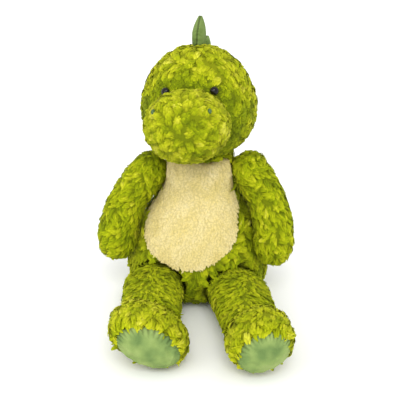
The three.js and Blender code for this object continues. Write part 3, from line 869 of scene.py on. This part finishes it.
# The torso and its panel share one backing, so that they meet without a gap.
trunk = backing_of("torso_skin", "torso_fill", "belly_panel", depth=PILE_DEPTH - 0.001)
high = np.clip((trunk.points[:, 2] - 0.32) / 0.03, 0, 1)
off_neck = np.clip((np.hypot(trunk.points[:, 0], trunk.points[:, 1]) - 0.035) / 0.03, 0, 1)
to_arm = np.clip((np.abs(trunk.points[:, 0]) - 0.05) / 0.025, 0, 1)
trunk.points[:, 2] += high * (CHEST_RISE * off_neck + SHOULDER_RISE * to_arm)
trunk.update()


def torso_painted_shade(points, normals):
    """Painted shade between the legs."""
    low = np.clip((0.11 - points[:, 2]) / 0.06, 0, 1)
    return -0.22 * low * (points[:, 1] < -0.09) * (np.abs(points[:, 0]) < 0.09)


def torso_length(points, normals):
    """Longer at the flanks, where it fills the space beside the arms."""
    high = np.exp(-(((points[:, 2] - 0.26) / 0.08) ** 2))
    return 1 + 0.95 * high * np.clip(np.abs(normals[:, 0]) - 0.4, 0, 0.5) * 2


place(
    fur("torso_fur", trunk, BODY, hanging(0.35), GREEN_PILE, 37,
        tone=torso_painted_shade, longer=torso_length, keep=in_skin),
    "torso", "curly_green", 0.85, "torso_skin", "torso_fill",
)
place(
    fur("belly_fleece", trunk.moved(0.0015), FLEECE, hanging(0.4), CREAM_PILE, 41, keep=in_panel),
    "torso", "cream_plush", 0.85, "belly_panel",
)

for side, word in ((1, "left"), (-1, "right")):
    arm = backing_of(f"arm_{word}_skin", f"arm_{word}_fill", depth=SLEEVE_DEPTH)
    arm.points[:, 0] -= side * ARM_SWELL * np.clip(-side * arm.normals[:, 0], 0, 1)
    arm.update()
    place(
        fur(f"arm_{word}_fur", arm, SLEEVE, hanging(0.8), GREEN_PILE, 50 + side),
        f"arm_{word}", "curly_green", 0.85, f"arm_{word}_skin", f"arm_{word}_fill",
    )

    leg_middle, _ = middle_and_half(f"leg_{word}_skin")
    sole_middle, sole_half = middle_and_half(f"sole_{word}")

    def lying(points, normals):
        """Forwards and down, parted along the middle of the leg."""
        way = np.zeros_like(points)
        way[:, 0] = (points[:, 0] - leg_middle[0]) / 0.03
        way[:, 1] = -0.5
        way[:, 2] = -0.4
        return way

    def shaggy(points, normals):
        """Forwards, then down over the top of the sole and out from under it."""
        way = np.zeros_like(points)
        way[:, 1] = -1
        above = (points[:, 2] - sole_middle[2]) / sole_half[2]
        front = np.clip(-normals[:, 1], 0, 1)
        way[:, 2] = -1.2 * front * np.sign(above)
        way[:, 2] += 2.4 * front * (above < 0) * above
        way[:, 0] = front * (above < 0.3) * (points[:, 0] - sole_middle[0]) / sole_half[0]
        return way

    def shag_length(points, normals):
        """Short below the middle of the sole."""
        below = np.clip((sole_middle[2] - points[:, 2]) / sole_half[2], 0, 1)
        return 1 - 0.55 * below

    leg = backing_of(f"leg_{word}_skin", f"leg_{word}_fill")
    foot = backing_of(f"foot_{word}_skin", f"foot_{word}_fill")
    place(
        fur(f"leg_{word}_fur", leg, LEG, lying, GREEN_PILE, 60 + side),
        f"leg_{word}", "curly_green", 0.85, f"leg_{word}_skin", f"leg_{word}_fill",
    )
    place(
        fur(f"foot_{word}_fur", foot, SHAG, shaggy, GREEN_PILE, 70 + side, longer=shag_length),
        f"leg_{word}", "curly_green", 0.9, f"foot_{word}_skin", f"foot_{word}_fill",
    )
    place(sole(f"sole_{word}", SOLE_VELBOA, 80 + side), f"leg_{word}", "sage_velboa", 0.7, f"sole_{word}")
    place_hard(eye(f"eye_{word}", EYE_BLACK), "head", "eye_black", f"eye_{word}")
    place_hard(stitched(f"nostril_{word}", THREAD), "head", "thread", f"nostril_{word}")
    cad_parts[f"eye_washer_{word}"].data.materials[0] = NYLON

# Balls of pile where the limbs are sewn on: they stand for the stuffing that each limb turns on. Each has how
# far it stands out of its CAD ball, and how far back it is moved.
ROOTS = [
    ("neck", 0.016, NECK_BACK, BODY, 91),
    ("shoulder_left", 0.012, 0, SLEEVE, 92),
    ("shoulder_right", 0.012, 0, SLEEVE, 93),
    ("hip_left", 0.010, 0, LEG, 94),
    ("hip_right", 0.010, 0, LEG, 95),
    ("tail_root", 0.010, 0, BODY, 96),
]
for body, proud, back, style, seed in ROOTS:
    ball = backing_of(f"{body}_fill", depth=-proud, swell=0)
    ball.points[:, 1] += back
    place(
        fur(f"{body}_fur", ball, style, hanging(0.4), GREEN_PILE, seed),
        body, "curly_green", 0.9, f"{body}_fill",
    )


def backwards(points, normals):
    return np.broadcast_to(np.array([0, 1, -0.2]), points.shape)


place(
    fur("tail_fur", backing_of("tail_skin", "tail_fill"), BODY, backwards, GREEN_PILE, 81),
    "tail", "curly_green", 0.85, "tail_skin", "tail_fill",
)

for part, body in (("head", "head"), ("back", "torso"), ("tail", "tail")):
    body_middle, _ = middle_and_half(f"{body}_skin")
    for i in (1, 2, 3):
        node = f"{part}_spike_{i}"
        place(plate(node, PLATE_VELBOA, body_middle, 100 + i), body, "sage_velboa", 0.8, node)


# ---- Studio ----


def floor(half=30.0):
    """A square of plain pale paper."""
    mesh = bpy.data.meshes.new("floor")
    corners = [(-half, -half, 0), (half, -half, 0), (half, half, 0), (-half, half, 0)]
    mesh.from_pydata(corners, [], [(0, 1, 2, 3)])
    made = object_of("floor", mesh)
    nodes = Nodes("floor_paper")
    grain = nodes.add("ShaderNodeTexNoise", {"Scale": 3.0})
    colour = nodes.ramp(grain.outputs["Fac"], [(0.3, grey(0.95)), (0.7, grey(0.97))])
    nodes.set(Base_Color=colour, Roughness=0.9)
    mesh.materials.append(nodes.material)


def softbox(name, at, size, power, aim=(0, 0, 0.3)):
    light = bpy.data.lights.new(name, "AREA")
    light.shape = "RECTANGLE"
    light.size, light.size_y = size
    light.energy = power
    made = object_of(name, light)
    made.location = at
    made.rotation_euler = (Vector(aim) - Vector(at)).to_track_quat("-Z", "Y").to_euler()


def camera():
    azimuth, elevation = math.radians(CAMERA["azimuth"]), math.radians(CAMERA["elevation"])
    level = math.cos(elevation)
    back = Vector((math.sin(azimuth) * level, -math.cos(azimuth) * level, math.sin(elevation)))
    data = bpy.data.cameras.new("camera")
    data.lens = CAMERA["lens"]
    data.sensor_width = 36
    made = object_of("camera", data)
    made.location = Vector(CAMERA["target"]) + back * CAMERA["distance"]
    made.rotation_euler = (-back).to_track_quat("-Z", "Y").to_euler()
    bpy.context.scene.camera = made


def sky():
    world = bpy.data.worlds.new("studio")
    world.use_nodes = True
    world.node_tree.nodes["Background"].inputs["Color"].default_value = (1, 1, 1, 1)
    world.node_tree.nodes["Background"].inputs["Strength"].default_value = 1.0
    bpy.context.scene.world = world


def sun(name, towards, strength, softness):
    light = bpy.data.lights.new(name, "SUN")
    light.energy = strength
    light.angle = math.radians(softness)
    made = object_of(name, light)
    made.rotation_euler = Vector(towards).to_track_quat("-Z", "Y").to_euler()


floor()
sky()
sun("key", (-0.22, 1.0, -0.95), 1.3, 30)
sun("fill", (0.1, 1.0, -0.2), 0.45, 60)
softbox("window", (-1.6, -2.4, 1.8), (1.4, 1.4), 12)
camera()
bpy.context.scene.view_settings.view_transform = "Standard"
